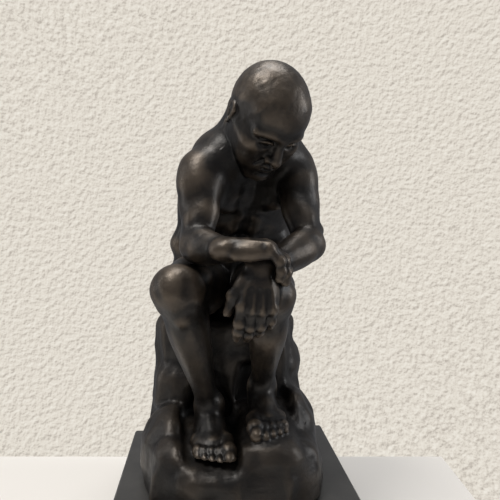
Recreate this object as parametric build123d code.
"""Seated figure deep in thought, cast in bronze, on a bronze rock and a black stone plinth.

All lengths are millimetres. +Z is up, +X is the figure's left, the figure faces -Y, and the
origin is the centre of the underside of the felt. The figure and the rock are two castings:
the figure is screwed down through the flat seat of the rock and located by a dowel under each
foot, and two studs draw the rock onto the plinth.
"""

from build123d import *

import os
from math import cos, pi, sin

os.makedirs("parts", exist_ok=True)

full_turn = 2 * pi

# Sides of the flat-faced sections that the castings are lofted through, and bands of an egg
trunk_sides = 20
limb_sides = 12
skull_sides = 14
egg_sides = 10
egg_bands = 6
finger_sides = 6

# Plinth and felt
felt_thickness = 1.5
felt_inset = 4.0
plinth_width = 130.0
plinth_depth = 130.0
plinth_thickness = 24.0
plinth_chamfer = 1.0
plinth_top = felt_thickness + plinth_thickness

# Rock casting
seat_height = 88.0
seat_width = 78.0
seat_depth = 60.0
seat_centre_x = -3.0
seat_centre_y = 29.0
rock_base_width = 100.0
rock_base_depth = 78.0
rock_base_centre_y = 21.0
apron_width = 99.0
apron_depth = 86.0
apron_height = 31.0
apron_centre_y = -16.0
rock_wall = 5.5
seat_land = 8.0
foot_rest_margin = 3.0
foot_rest_spread = 12.0
limb_gap = 0.6

# Figure: its joints are counted in canon units, one classical head, and its girths are named
canon = 46.0
head_height = 54.0
head_breadth = 40.5
head_length = 46.4
jaw_breadth = 28.7
ear_height = 13.8
neck_radius = 14.5
nape_reach = 4.0
hump_reach = 6.0
hump_breadth = 34.0
hump_thickness = 26.0
pelvis_breadth = 70.0
pelvis_thickness = 46.0
waist_breadth = 64.0
waist_thickness = 40.0
chest_breadth = 73.0
chest_thickness = 47.0
shoulder_radius = 12.8
upper_arm_radius = 10.8
elbow_radius = 8.0
forearm_radius = 9.6
wrist_radius = 6.2
hand_breadth = 21.0
hand_length = 39.0
hand_thickness = 9.0
finger_radius = 2.8
buttock_radius = 20.5
thigh_radius = 17.2
knee_radius = 12.0
shank_radius = 11.2
ankle_radius = 6.8
foot_length = 53.0
foot_breadth = 21.5
foot_height = 14.5
toe_radius = 3.0
head_pitch = 50.0
head_turn = 30.0

# Joints in canon units: towards the left hand, towards the back, and up from the seat
joint_shares = {
    "tailbone": (0.00, 0.80, -0.10),
    "pelvis": (0.00, 0.82, 0.42),
    "waist": (0.02, 0.90, 0.94),
    "ribs": (0.08, 0.74, 1.46),
    "chest": (0.14, 0.44, 1.90),
    "collar": (0.18, 0.18, 2.20),
    "neck_root": (0.22, 0.02, 2.20),
    "skull_base": (0.28, -0.28, 2.36),
    "right_shoulder": (-0.38, -0.24, 1.82),
    "left_shoulder": (0.77, 0.22, 1.91),
    "right_elbow": (-0.44, -0.60, 0.97),
    "left_elbow": (0.86, -0.44, 0.97),
    "right_wrist": (-0.08, -1.14, 0.97),
    "left_wrist": (0.22, -1.14, 0.74),
    "right_hip": (-0.37, 0.72, 0.37),
    "left_hip": (0.37, 0.72, 0.37),
    "right_knee": (-0.66, -0.89, 0.52),
    "left_knee": (0.36, -0.84, 0.44),
    "right_ankle": (-0.31, -0.25, -0.96),
    "left_ankle": (0.34, -0.14, -0.78),
}

# Sections along a limb: place, half width, half depth and shift to the rear
neck_shares = ((-0.25, 1.30, 1.16, 0), (0.2, 1.12, 1.08, 0), (0.7, 1.0, 1.0, 0), (1, 1.0, 1.0, 0))
trapezius_shares = ((0, 0.83, 0.83, 0), (0.4, 1.06, 1.02, 0), (0.8, 0.92, 0.84, 0), (1, 0.70, 0.54, 0))
collar_shares = ((0.25, 1.35, 1.0, 0), (0.65, 1.22, 1.0, 0), (1, 0.86, 0.82, 0))
upper_arm_shares = (
    (-0.04, 0.98, 1.00, 0),
    (0.25, 1.02, 1.10, 0),
    (0.50, 0.92, 1.06, 0),
    (0.80, 0.77, 0.84, 0),
    (1, 0.72, 0.72, 0),
)
forearm_shares = (
    (-0.02, 0.86, 0.84, 0),
    (0.22, 1.04, 0.98, 0),
    (0.48, 0.94, 0.86, 0),
    (0.80, 0.70, 0.62, 0),
    (1, 0.64, 0.54, 0),
)
palm_shares = ((0, 0.60, 0.80, 0), (0.5, 0.94, 0.78, 0), (1, 0.98, 0.66, 0))
thigh_shares = (
    (-0.05, 1.06, 1.06, 0),
    (0.25, 1.08, 1.05, 0),
    (0.55, 0.98, 0.96, 0),
    (0.85, 0.77, 0.77, 0),
    (1, 0.69, 0.69, 0),
)
shank_shares = (
    (-0.02, 1.02, 1.02, 0),
    (0.15, 0.93, 1.02, 0.06),
    (0.35, 1.00, 1.12, 0.18),
    (0.60, 0.77, 0.87, 0.10),
    (0.85, 0.56, 0.64, 0),
    (1, 0.58, 0.66, 0),
)
foot_shares = (
    (-0.22, 0.30, 0.46, 0),
    (-0.10, 0.37, 0.84, 0),
    (0.10, 0.38, 1.00, 0.02),
    (0.36, 0.46, 0.66, 0.02),
    (0.56, 0.50, 0.42, 0),
)

# Trunk sections from the seat to the collar, as shares of the breadth and thickness there, and
# the turn of each towards the left
trunk_breadth_shares = (0.88, 1.00, 1.00, 0.96, 0.96, 0.69)
trunk_thickness_shares = (0.90, 0.98, 1.00, 0.98, 0.94, 0.64)
trunk_turns = (0.0, 0.0, 5.0, 12.0, 20.0, 20.0)

# Muscles of the trunk: joint, place and half size, in chest breadths, thicknesses and breadths
trunk_muscle_shares = (
    ("chest", (0.22, -0.30, -0.10), (0.25, 0.15, 0.17)),
    ("chest", (0.25, 0.25, -0.14), (0.21, 0.16, 0.28)),
)
deltoid_place_share, deltoid_reach_share = 0.15, 0.37
trapezius_start_share, trapezius_end_share, hump_place_share = 0.40, 0.92, 0.35
buttock_shift_shares = (-0.05, 0.28, -0.02)
kneecap_place_share, kneecap_share = 0.42, 0.66

# Head: eggs by place and half size, in head breadths, lengths and heights from its centre
head_rise_share, head_reach_share = 0.237, 0.056
skull_shares = {
    "skull": ((0, 0.02, 0.04), (0.48, 0.48, 0.40)),
    "hair": ((0, 0.05, 0.07), (0.50, 0.49, 0.39)),
}
head_egg_shares = {
    "brow": ((0, -0.39, -0.03), (0.36, 0.09, 0.05)),
    "right_cheek": ((-0.24, -0.30, -0.19), (0.16, 0.13, 0.10)),
    "left_cheek": ((0.24, -0.30, -0.19), (0.16, 0.13, 0.10)),
    "mouth": ((0, -0.385, -0.36), (0.16, 0.08, 0.055)),
    "chin": ((0, -0.345, -0.475), (0.17, 0.11, 0.08)),
}
eye_socket_shares = ((0.19, -0.50, -0.11), (0.13, 0.09, 0.055))
ear_shares = ((0.49, 0.04, -0.12), (0.14, 0.30, 0.50))
nose_shares = ((0, -0.44, -0.07), (0, -0.515, -0.235))
nose_radius_shares = (0.055, 0.095)
face_shares = (
    (0.04, -0.14, 0.43, 0.30),
    (-0.16, -0.17, 0.42, 0.27),
    (-0.36, -0.19, 0.44, 0.23),
    (-0.52, -0.22, 0.32, 0.17),
)

# Hands: knuckles across the palm, and how far each finger reaches, from the thumb side
knuckle_shares = (-0.37, -0.12, 0.13, 0.37)
finger_reach_shares = (0.90, 1.0, 0.95, 0.78)
palm_length_share, thumb_length_share = 0.48, 0.44
thumb_root_share, thumb_fall_share = 0.33, 0.5
rod_end_share, rod_end_girth_share = 0.62, 0.66
finger_bend_share = 0.55
finger_girth_shares = (1.04, 0.96, 0.78)

# Feet: the heel behind the ankle, and each toe's spread, reach and girth from the big toe
toe_root_share, toe_tip_share = 0.44, 0.84
toe_spread_shares = (0.36, 0.15, -0.03, -0.20, -0.35)
toe_reach_shares = (0.76, 0.75, 0.715, 0.675, 0.63)
toe_girth_shares = (1.35, 1.0, 0.95, 0.9, 0.9)
sole_slope_shares = {"left": (0.05, 0.14), "right": (0.06, 0.22)}
room_height_share, foundation_spread_share, toe_sink_share = 1.55, 0.33, 0.25
ankle_over_sole_share, dowel_place_share, foot_middle_share = 0.95, 0.10, 0.26

# Screws and dowels between the castings, and the studs that hold the plinth
seat_screw_radius = 2.0
seat_screw_grip = 10.0
seat_screw_head_radius = 3.5
seat_screw_head_height = 4.0
dowel_radius = 1.5
dowel_half_length = 5.0
stud_radius = 3.0
stud_grip = 12.0
stud_spacing = 62.0
stud_y = 22.0
boss_radius = 7.0
boss_height = 16.0
washer_radius = 6.0
washer_thickness = 1.6
nut_across_flats = 10.0
nut_height = 5.0
stud_overhang = 1.0
counterbore_radius = 8.5
counterbore_depth = 9.0
thread_gap = 0.05
bolt_gap = 0.4
overrun = 1.0

# Reach of the rock's outline at even angles, from the figure's left round by its back
base_reach_shares = (1.00, 1.04, 1.02, 0.96, 1.03, 1.05, 1.02, 0.98, 0.88, 0.84, 0.90, 0.96)
low_reach_shares = (0.95, 1.03, 1.06, 0.97, 1.05, 1.00, 1.06, 0.95, 0.82, 0.74, 0.80, 0.88)
middle_reach_shares = (0.95, 1.06, 0.98, 1.04, 0.98, 1.07, 1.03, 0.92, 0.80, 0.74, 0.82, 0.90)
upper_reach_shares = (0.92, 1.00, 1.08, 0.98, 1.06, 1.00, 1.00, 0.98, 0.88, 0.82, 0.90, 0.94)
seat_reach_shares = (0.97, 1.06, 1.00, 1.04, 1.00, 1.07, 0.99, 1.02, 0.96, 0.94, 0.97, 1.00)
apron_reach_shares = (0.98, 0.96, 0.90, 0.90, 0.94, 0.98, 1.01, 1.06, 0.98, 0.95, 1.02, 1.04)

# Levels of the rock: height, how much of the base's spread is left, and the outline
block_level_shares = (
    (0, 1, base_reach_shares),
    (0.26, 0.68, low_reach_shares),
    (0.55, 0.34, middle_reach_shares),
    (0.80, 0.12, upper_reach_shares),
    (0.95, 0, seat_reach_shares),
    (1, -0.25, seat_reach_shares),
)
apron_level_shares = ((0, 1, 1), (0.45, 0.97, 0.95), (0.85, 0.88, 0.86), (1, 0.76, 0.74))

# Lumps of the rock: place and half size, in base widths, base depths and seat heights
rock_lump_shares = (
    ((-0.31, -0.06, 0.12), (0.21, 0.40, 0.36)),
    ((0.27, 0.06, 0.20), (0.21, 0.42, 0.36)),
    ((0.20, 0.52, 0.22), (0.26, 0.27, 0.36)),
    ((-0.20, 0.54, 0.40), (0.25, 0.24, 0.38)),
    ((-0.27, 0.26, 0.44), (0.20, 0.26, 0.36)),
    ((0.21, 0.40, 0.62), (0.19, 0.30, 0.28)),
)

seat_level = plinth_top + seat_height


def joint(name):
    """A joint's place, from its shares of the canon unit."""
    x_share, y_share, z_share = joint_shares[name]
    return Vector(canon * x_share, canon * y_share, seat_level + canon * z_share)


def side_plane(origin, axis, across):
    """The plane square to axis whose x direction is as near to across as can be."""
    axis = axis.normalized()
    across = across - axis * across.dot(axis)
    return Plane(origin=origin, x_dir=across.normalized(), z_dir=axis)


def ring(plane, half_width, half_depth, sides):
    """A section of a casting: a polygon whose corners lie on an ellipse."""
    points = []
    for i in range(sides):
        angle = full_turn * i / sides
        points.append((half_width * cos(angle), half_depth * sin(angle)))
    return plane * make_face(Polyline(*points, close=True))


def limb(start, end, across, radius, section_shares, depth_radius=None):
    """A loft of rings from start to end, its sections given as shares of its radius."""
    axis = end - start
    depth_radius = depth_radius or radius
    sections = []
    for place, width, depth, rear in section_shares:
        plane = side_plane(start + axis * place, axis, across)
        plane.origin = plane.origin + plane.y_dir * (depth_radius * rear)
        sections.append(ring(plane, radius * width, depth_radius * depth, limb_sides))
    return loft(sections, ruled=True)


def rod(start, end, start_radius, end_radius):
    """A bone of a finger or a toe, with rounded ends."""
    axis = (end - start).normalized()
    across = Vector(1, 0, 0) if abs(axis.X) < abs(axis.Z) + abs(axis.Y) else Vector(0, 1, 0)
    sections = []
    for point, radius, beyond, girth in (
        (start, start_radius, -rod_end_share, rod_end_girth_share),
        (start, start_radius, 0, 1),
        (end, end_radius, 0, 1),
        (end, end_radius, rod_end_share, rod_end_girth_share),
    ):
        plane = side_plane(point + axis * (radius * beyond), axis, across)
        sections.append(ring(plane, radius * girth, radius * girth, finger_sides))
    return loft(sections, ruled=True)


def egg(plane, half_x, half_y, half_z, sides=egg_sides):
    """An ellipsoid on a plane's own axes, in flat-faced bands."""
    sections = []
    for band in range(1, egg_bands):
        angle = pi * band / egg_bands
        origin = plane.from_local_coords(Vector(0, 0, -half_z * cos(angle)))
        level = Plane(origin=origin, x_dir=plane.x_dir, z_dir=plane.z_dir)
        sections.append(ring(level, half_x * sin(angle), half_y * sin(angle), sides))
    tips = [plane.from_local_coords(Vector(0, 0, end * half_z)) for end in (-1, 1)]
    return loft([Vertex(*tips[0]), *sections, Vertex(*tips[1])], ruled=True)


def ball(centre, radius):
    return egg(Plane(origin=centre), radius, radius, radius)


def share_point(plane, shares, sizes):
    """A point on a plane's axes, each coordinate a share of its own size."""
    return plane.from_local_coords(Vector(*(share * size for share, size in zip(shares, sizes))))


def share_plane(plane, shares, sizes):
    """The same plane with its origin at a share point."""
    origin = share_point(plane, shares, sizes)
    return Plane(origin=origin, x_dir=plane.x_dir, z_dir=plane.z_dir)


def share_egg(plane, centre_shares, half_shares, sizes, sides=egg_sides):
    """An egg whose centre and half sizes are shares of three sizes."""
    place = share_plane(plane, centre_shares, sizes)
    return egg(place, *(share * size for share, size in zip(half_shares, sizes)), sides)


def mirrored(shares, side):
    """Shares of a left-hand point, or of its mirror image where side is -1."""
    return (side * shares[0], *shares[1:])


def fuse_all(solids):
    """One solid from many that overlap."""
    body = solids[0]
    for solid in solids[1:]:
        body = body + solid
    return body


def trunk():
    """Torso from the seat to the collar, as one loft along the bent spine."""
    rows = (
        ("tailbone", pelvis_breadth, pelvis_thickness),
        ("pelvis", pelvis_breadth, pelvis_thickness),
        ("waist", waist_breadth, waist_thickness),
        ("ribs", chest_breadth, chest_thickness),
        ("chest", chest_breadth, chest_thickness),
        ("collar", chest_breadth, chest_thickness),
    )
    names = [row[0] for row in rows]
    sections = []
    for i, (name, breadth, thickness) in enumerate(rows):
        below = joint(names[max(i - 1, 0)])
        above = joint(names[min(i + 1, len(names) - 1)])
        left = Vector(1, 0, 0).rotate(Axis.Z, trunk_turns[i])
        plane = side_plane(joint(name), above - below, left)
        half_breadth = breadth / 2 * trunk_breadth_shares[i]
        half_thickness = thickness / 2 * trunk_thickness_shares[i]
        sections.append(ring(plane, half_breadth, half_thickness, trunk_sides))
    return loft(sections, ruled=True)


def trunk_muscles():
    """Pectorals and shoulder blades, laid on the loft of the trunk."""
    sizes = (chest_breadth, chest_thickness, chest_breadth)
    muscles = []
    for name, centre_shares, half_shares in trunk_muscle_shares:
        left = Vector(1, 0, 0).rotate(Axis.Z, trunk_turns[-1])
        plane = side_plane(joint(name), joint("collar") - joint("ribs"), left)
        for side in (-1, 1):
            muscles.append(share_egg(plane, mirrored(centre_shares, side), half_shares, sizes))
    return muscles


def head_plane():
    """The head's own axes at its centre: x to the left, y to the back, z to the crown."""
    base = Pos(*joint("skull_base")) * Rotation(0, 0, head_turn) * Rotation(head_pitch, 0, 0)
    sizes = (head_breadth, head_length, head_height)
    return share_plane(Plane(base), (0, -head_reach_share, head_rise_share), sizes)


def head():
    """Skull, cropped hair, face, nose and ears, with the eye sockets cut."""
    plane = head_plane()
    sizes = (head_breadth, head_length, head_height)
    solids = [share_egg(plane, *shares, sizes, skull_sides) for shares in skull_shares.values()]
    solids += [share_egg(plane, *shares, sizes) for shares in head_egg_shares.values()]
    sections = []
    for rise, reach, width, depth in face_shares:
        level = share_plane(plane, (0, reach, rise), sizes)
        taper = (face_shares[0][0] - rise) / (face_shares[0][0] - face_shares[-1][0])
        breadth = head_breadth + (jaw_breadth - head_breadth) * taper
        sections.append(ring(level, breadth * width, head_length * depth, skull_sides))
    solids.append(loft(sections, ruled=True))
    bridge, tip = [share_point(plane, shares, sizes) for shares in nose_shares]
    bridge_radius, tip_radius = [head_breadth * share for share in nose_radius_shares]
    solids.append(rod(bridge, tip, bridge_radius, tip_radius))
    for side in (-1, 1):
        ear = share_plane(plane, mirrored(ear_shares[0], side), sizes)
        solids.append(egg(ear, *(ear_height * share for share in ear_shares[1])))
    body = fuse_all(solids)
    for side in (-1, 1):
        socket_centre_shares, socket_half_shares = eye_socket_shares
        body -= share_egg(plane, mirrored(socket_centre_shares, side), socket_half_shares, sizes)
    return body


def neck():
    """The neck, and the trapezius that runs from it to each shoulder."""
    root = joint("neck_root")
    top = head_plane().origin
    solids = [limb(root, top, Vector(1, 0, 0), neck_radius, neck_shares)]
    start = root + (top - root) * trapezius_start_share + Vector(0, nape_reach, 0)
    for side in ("right", "left"):
        way = joint(side + "_shoulder") - root
        end = root + way * trapezius_end_share
        solids.append(limb(start, end, Vector(0, 1, 0), neck_radius, trapezius_shares))
        hump = Plane(origin=root + way * hump_place_share + Vector(0, hump_reach, hump_reach))
        solids.append(egg(hump, hump_breadth / 2, hump_thickness / 2, hump_thickness / 2))
    return solids


def arm(side):
    """Collar muscle, deltoid, upper arm, elbow and forearm."""
    shoulder = joint(side + "_shoulder")
    elbow = joint(side + "_elbow")
    wrist = joint(side + "_wrist")
    across = (wrist - elbow).cross(shoulder - elbow)
    reach = elbow - shoulder
    deltoid = side_plane(shoulder + reach * deltoid_place_share, reach, across)
    deltoid_reach = reach.length * deltoid_reach_share
    return [
        limb(joint("chest"), shoulder, Vector(0, 1, 0), shoulder_radius, collar_shares),
        egg(deltoid, shoulder_radius, shoulder_radius, deltoid_reach),
        limb(shoulder, elbow, across, upper_arm_radius, upper_arm_shares),
        ball(elbow, elbow_radius),
        limb(elbow, wrist, across, forearm_radius, forearm_shares),
        ball(wrist, wrist_radius),
    ]


def finger(start, bend, tip):
    """Two bones of a finger, each a little thinner than the one before."""
    root_radius, bend_radius, tip_radius = (finger_radius * share for share in finger_girth_shares)
    middle_radius = (root_radius + bend_radius) / 2
    return [rod(start, bend, root_radius, middle_radius), rod(bend, tip, bend_radius, tip_radius)]


def hand(wrist, reach, fall, across):
    """A hand from its wrist: palm along reach, fingers from reach round towards fall."""
    palm_length = hand_length * palm_length_share
    finger_length = hand_length - palm_length
    knuckles = wrist + reach * palm_length
    solids = [
        limb(wrist, knuckles, across, hand_breadth / 2, palm_shares, hand_thickness / 2)
    ]
    for spread, length_share in zip(knuckle_shares, finger_reach_shares):
        start = knuckles + across * (hand_breadth * spread)
        length = finger_length * length_share
        bend = start + (reach + fall).normalized() * (length * finger_bend_share)
        tip = bend + fall * (length * (1 - finger_bend_share))
        solids += finger(start, bend, tip)
    root = wrist + reach * (palm_length * thumb_root_share) + across * (hand_breadth * knuckle_shares[0])
    thumb_way = (reach - across + fall * thumb_fall_share).normalized()
    bend = root + thumb_way * (hand_length * thumb_length_share / 2)
    tip = bend + (reach + thumb_way).normalized() * (hand_length * thumb_length_share / 2)
    return solids + finger(root, bend, tip)


def left_hand():
    """The left hand hangs over the knee, its fingers bent round it."""
    reach = Vector(-0.10, -0.22, -1).normalized()
    fall = Vector(-0.04, 0.92, -0.42).normalized()
    return hand(joint("left_wrist"), reach, fall, Vector(1, 0, 0))


def right_hand():
    """The right hand lies over the left wrist, its fingers round it."""
    wrist = joint("right_wrist")
    over = joint("left_wrist") + Vector(0, 0, wrist_radius + hand_thickness / 2)
    reach = (over - wrist).normalized()
    across = reach.cross(Vector(0, -0.5, 1)).normalized()
    return hand(wrist, reach, Vector(0.45, 0.05, -1).normalized(), across)


def leg(side):
    """Buttock, thigh, knee, kneecap and shank."""
    hip = joint(side + "_hip")
    knee = joint(side + "_knee")
    across = (knee - hip).cross(joint(side + "_ankle") - knee)
    shift_shares = mirrored(buttock_shift_shares, 1 if side == "left" else -1)
    shift = Vector(*(buttock_radius * share for share in shift_shares))
    forward = (knee - hip).normalized()
    return [
        ball(hip + shift, buttock_radius),
        limb(hip, knee, across, thigh_radius, thigh_shares),
        ball(knee, knee_radius),
        ball(knee + forward * (knee_radius * kneecap_place_share), knee_radius * kneecap_share),
        shank(side, 0),
    ]


def shank(side, gap):
    """Calf and shin, grown by a gap where it is the clearance cut in the rock."""
    hip = joint(side + "_hip")
    knee = joint(side + "_knee")
    ankle = joint(side + "_ankle")
    across = (knee - hip).cross(ankle - knee)
    return limb(knee, ankle, across, shank_radius + gap, shank_shares)


def sole_plane(side):
    """The plane of a sole under the ankle: x towards the toes, z up out of the rock."""
    toe_out_share, toe_down_share = sole_slope_shares[side]
    forward = Vector(toe_out_share, -1, -toe_down_share).normalized()
    left = Vector(0, 0, 1).cross(forward).normalized()
    up = forward.cross(left)
    origin = joint(side + "_ankle") - up * (foot_height * ankle_over_sole_share)
    return Plane(origin=origin, x_dir=forward, z_dir=up)


def on_sole(side, shares):
    """A copy of the sole's plane, moved by shares of the foot's length, breadth and height."""
    return share_plane(sole_plane(side), shares, (foot_length, foot_breadth, foot_height))


def foot(side):
    """Heel, instep and toes, cut flat by the sole."""
    inner = 1 if side == "right" else -1
    sections = []
    for place, width, height, inward in foot_shares:
        level = on_sole(side, (place, inner * inward, height / 2))
        level = Plane(origin=level.origin, x_dir=level.y_dir, z_dir=level.x_dir)
        half_height = foot_height * height * ankle_over_sole_share / 2 + toe_radius / 2
        sections.append(ring(level, foot_breadth * width, half_height, egg_sides))
    solids = [loft(sections, ruled=True), ball(joint(side + "_ankle"), ankle_radius)]
    for spread, reach, girth in zip(toe_spread_shares, toe_reach_shares, toe_girth_shares):
        radius = toe_radius * girth
        root = on_sole(side, (toe_root_share, inner * spread, 0))
        end = on_sole(side, (reach, inner * spread, 0))
        start = root.origin + root.z_dir * radius
        tip = end.origin + end.z_dir * (radius - toe_radius * toe_sink_share) - end.x_dir * radius
        solids.append(rod(start, tip, radius, radius * toe_tip_share))
    below = on_sole(side, (0, 0, -1))
    cut = below.location * Box(2 * foot_length, 2 * foot_breadth, 2 * foot_height)
    return [solid - cut for solid in solids]


def seat_screw_places():
    return [joint("right_hip"), joint("left_hip")]


def make_figure():
    """The figure: one casting, flat where it meets the rock."""
    body = fuse_all([trunk()] + trunk_muscles() + neck()) + head()
    for side in ("right", "left"):
        body += fuse_all(leg(side) + foot(side))
    body += fuse_all(arm("left") + left_hand())
    body += fuse_all(arm("right") + right_hand())
    body -= Pos(0, seat_centre_y, seat_level - buttock_radius) * Box(
        plinth_width, seat_depth + 2 * limb_gap + 2 * rock_wall, 2 * buttock_radius
    )
    for place in seat_screw_places():
        body -= Pos(place.X, place.Y, seat_level) * Cylinder(
            seat_screw_radius + thread_gap, 2 * (seat_screw_grip + overrun)
        )
    for side in ("right", "left"):
        body -= dowel(side, thread_gap, overrun)
    return body


def dowel(side, gap, extra):
    """The dowel under a foot, square to the sole, grown by a gap where it is its hole."""
    place = on_sole(side, (dowel_place_share, 0, 0))
    return place.location * Cylinder(dowel_radius + gap, 2 * (dowel_half_length + extra))


def outline(level, centre_x, centre_y, width, depth, reach_shares):
    """A closed rough outline at a height: one reach share for each of its even angles."""
    points = []
    for i, reach in enumerate(reach_shares):
        angle = full_turn * i / len(reach_shares)
        x = centre_x + width / 2 * reach * cos(angle)
        y = centre_y + depth / 2 * reach * sin(angle)
        points.append((x, y))
    return Pos(0, 0, level) * make_face(Polyline(*points, close=True))


def rock_block(inset, top):
    """The seat block of the rock, drawn in by an inset where it is the hollow inside."""
    sections = []
    for height, spread, reach_shares in block_level_shares:
        width = seat_width + (rock_base_width - seat_width) * spread
        depth = seat_depth + (rock_base_depth - seat_depth) * spread
        centre_x = seat_centre_x * (1 - spread)
        centre_y = seat_centre_y + (rock_base_centre_y - seat_centre_y) * spread
        level = plinth_top + top * height
        sections.append(
            outline(level, centre_x, centre_y, width - 2 * inset, depth - 2 * inset, reach_shares)
        )
    return loft(sections, ruled=True)


def rock_apron():
    """The low front of the rock that the feet stand on."""
    sections = []
    for height, width_share, depth_share in apron_level_shares:
        level = plinth_top + apron_height * height
        width = apron_width * width_share
        depth = apron_depth * depth_share
        sections.append(outline(level, 0, apron_centre_y, width, depth, apron_reach_shares))
    return loft(sections, ruled=True)


def rock_lumps():
    """Boulders that break the outline of the rock, cut off at the plinth."""
    ground = Plane(origin=(0, 0, plinth_top))
    sizes = (rock_base_width, rock_base_depth, seat_height)
    lumps = [share_egg(ground, *shares, sizes) for shares in rock_lump_shares]
    below = Pos(0, 0, plinth_top) * Box(
        2 * plinth_width, 2 * plinth_depth, seat_height, align=(Align.CENTER, Align.CENTER, Align.MAX)
    )
    return [lump - below for lump in lumps]


def foot_rest(side):
    """A boulder whose top is the flat land of one sole."""
    land = on_sole(side, (foot_middle_share, 0, 0))
    ground = Plane(origin=(land.origin.X, land.origin.Y, plinth_top), x_dir=(0, -1, 0), z_dir=(0, 0, 1))
    half_length = foot_length / 2 + foot_rest_margin
    half_breadth = foot_breadth / 2 + foot_rest_margin
    spread = foot_rest_spread
    foundation_length = half_length + spread * foundation_spread_share
    foundation = ring(ground, foundation_length, half_breadth + spread, egg_sides)
    return loft([foundation, ring(land, half_length, half_breadth, egg_sides)], ruled=True)


def foot_room(side):
    """The space above a sole that the rock leaves to the foot, round behind the heel."""
    land = on_sole(side, (foot_middle_share, 0, 0))
    half_length = foot_length / 2 + foot_rest_margin + toe_radius
    half_breadth = foot_breadth / 2 + toe_radius + limb_gap
    room = extrude(SlotOverall(2 * half_length, 2 * half_breadth), foot_height * room_height_share)
    return land.location * room


def stud_places():
    return [(side * stud_spacing / 2, stud_y) for side in (-1, 1)]


def make_rock():
    """The rock: a casting, open below, with a flat seat and a flat land for each sole.

    A rib across its hollow carries the two bosses that the studs are screwed into.
    """
    solids = [rock_block(0, seat_height), rock_apron()]
    solids += rock_lumps()
    solids += [foot_rest(side) for side in ("right", "left")]
    body = fuse_all(solids)
    for side in ("right", "left"):
        body -= foot_room(side)
        body -= shank(side, limb_gap)
    hollow = rock_block(rock_wall, seat_height - seat_land)
    standing = (Align.CENTER, Align.CENTER, Align.MIN)
    rib = Box(2 * rock_base_width, rock_wall, boss_height, align=standing)
    hollow -= Pos(0, stud_y, plinth_top) * rib
    for x, y in stud_places():
        hollow -= Pos(x, y, plinth_top) * Cylinder(boss_radius, boss_height, align=standing)
    body -= hollow
    for x, y in stud_places():
        body -= Pos(x, y, plinth_top) * Cylinder(stud_radius + thread_gap, 2 * (stud_grip + overrun))
    for place in seat_screw_places():
        body -= Pos(place.X, place.Y, seat_level) * Cylinder(
            seat_screw_radius + bolt_gap, 2 * (seat_land + overrun)
        )
    for side in ("right", "left"):
        body -= dowel(side, thread_gap, overrun)
    return body


def make_seat_screws():
    """Two cap screws from inside the rock up into the figure."""
    screws = []
    for place in seat_screw_places():
        bearing = seat_level - seat_land
        shaft = Pos(place.X, place.Y, bearing) * Cylinder(
            seat_screw_radius,
            seat_land + seat_screw_grip,
            align=(Align.CENTER, Align.CENTER, Align.MIN),
        )
        cap = Pos(place.X, place.Y, bearing) * Cylinder(
            seat_screw_head_radius,
            seat_screw_head_height,
            align=(Align.CENTER, Align.CENTER, Align.MAX),
        )
        socket = Pos(place.X, place.Y, bearing - seat_screw_head_height) * extrude(
            RegularPolygon(seat_screw_head_radius / 2, 6), seat_screw_head_height / 2
        )
        screws.append(shaft + cap - socket)
    return screws


def make_dowels():
    return [dowel(side, 0, 0) for side in ("right", "left")]


def make_plinth():
    """The stone slab, eased all round, drilled and counterbored from below for the studs."""
    slab = Pos(0, 0, felt_thickness) * Box(
        plinth_width, plinth_depth, plinth_thickness, align=(Align.CENTER, Align.CENTER, Align.MIN)
    )
    slab = chamfer(slab.edges(), plinth_chamfer)
    for x, y in stud_places():
        through = 2 * (plinth_thickness + overrun)
        slab -= Pos(x, y, felt_thickness) * Cylinder(stud_radius + bolt_gap, through)
        slab -= Pos(x, y, felt_thickness) * Cylinder(counterbore_radius, 2 * counterbore_depth)
    return slab


def make_studs():
    """Two threaded studs from the bosses of the rock down through the plinth."""
    low = felt_thickness + counterbore_depth - washer_thickness - nut_height - stud_overhang
    high = plinth_top + stud_grip
    return [
        Pos(x, y, low) * Cylinder(stud_radius, high - low, align=(Align.CENTER, Align.CENTER, Align.MIN))
        for x, y in stud_places()
    ]


def make_washers():
    """A washer in each counterbore."""
    hanging = (Align.CENTER, Align.CENTER, Align.MAX)
    disc = Cylinder(washer_radius, washer_thickness, align=hanging)
    bore = Cylinder(stud_radius + bolt_gap / 2, 2 * (washer_thickness + overrun))
    level = felt_thickness + counterbore_depth
    return [Pos(x, y, level) * (disc - bore) for x, y in stud_places()]


def make_nuts():
    """A nut under each washer."""
    blank = extrude(RegularPolygon(nut_across_flats / 2, 6, major_radius=False), -nut_height)
    bore = Cylinder(stud_radius + thread_gap, 2 * (nut_height + overrun))
    level = felt_thickness + counterbore_depth - washer_thickness
    return [Pos(x, y, level) * (blank - bore) for x, y in stud_places()]


def make_felt():
    """The felt under the plinth, which also covers the counterbores."""
    return Box(
        plinth_width - 2 * felt_inset,
        plinth_depth - 2 * felt_inset,
        felt_thickness,
        align=(Align.CENTER, Align.CENTER, Align.MIN),
    )


def keep(name, shape):
    """Write one sub-part. A list becomes separate solids in one file."""
    if isinstance(shape, list):
        shape = Compound(children=[Solid(s.solid().wrapped) for s in shape])
    export_step(shape, f"parts/{name}.step")


keep("figure", make_figure())
keep("rock_seat", make_rock())
keep("seat_screws", make_seat_screws())
keep("foot_dowels", make_dowels())
keep("plinth", make_plinth())
keep("plinth_studs", make_studs())
keep("plinth_washers", make_washers())
keep("plinth_nuts", make_nuts())
keep("felt_pad", make_felt())
